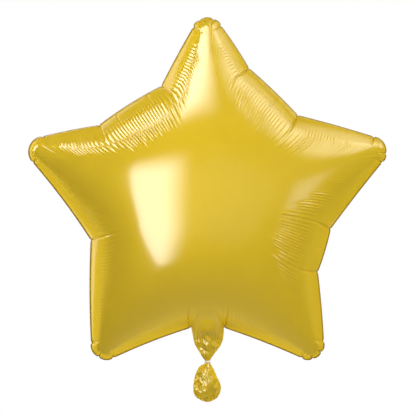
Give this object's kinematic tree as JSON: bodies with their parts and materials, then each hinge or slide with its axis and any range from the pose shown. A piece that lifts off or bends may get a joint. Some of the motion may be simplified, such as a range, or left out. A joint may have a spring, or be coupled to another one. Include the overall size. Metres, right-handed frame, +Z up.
{
  "type": "star foil balloon",
  "caption": "Inflated star-shaped foil balloon with rounded points, pleated waists, a gathered and tied neck and a crumpled tail, for party decoration.",
  "frame": {"origin": "middle of the gathered throat, inside the tie, where a ribbon or string holds the balloon", "axes": "+Z up the neck through the middle of the star to its top point, +X to the right of the front sheet, the front sheet faces -Y"},
  "size_m": [0.4506, 0.172, 0.4843],
  "materials": {
    "gold_foil": "satin gold metallised film",
    "white_thread": "matt white thread"
  },
  "bodies": {
    "root": {"foil_envelope": "gold_foil", "neck_tie": "white_thread"}
  },
  "joints": []
}
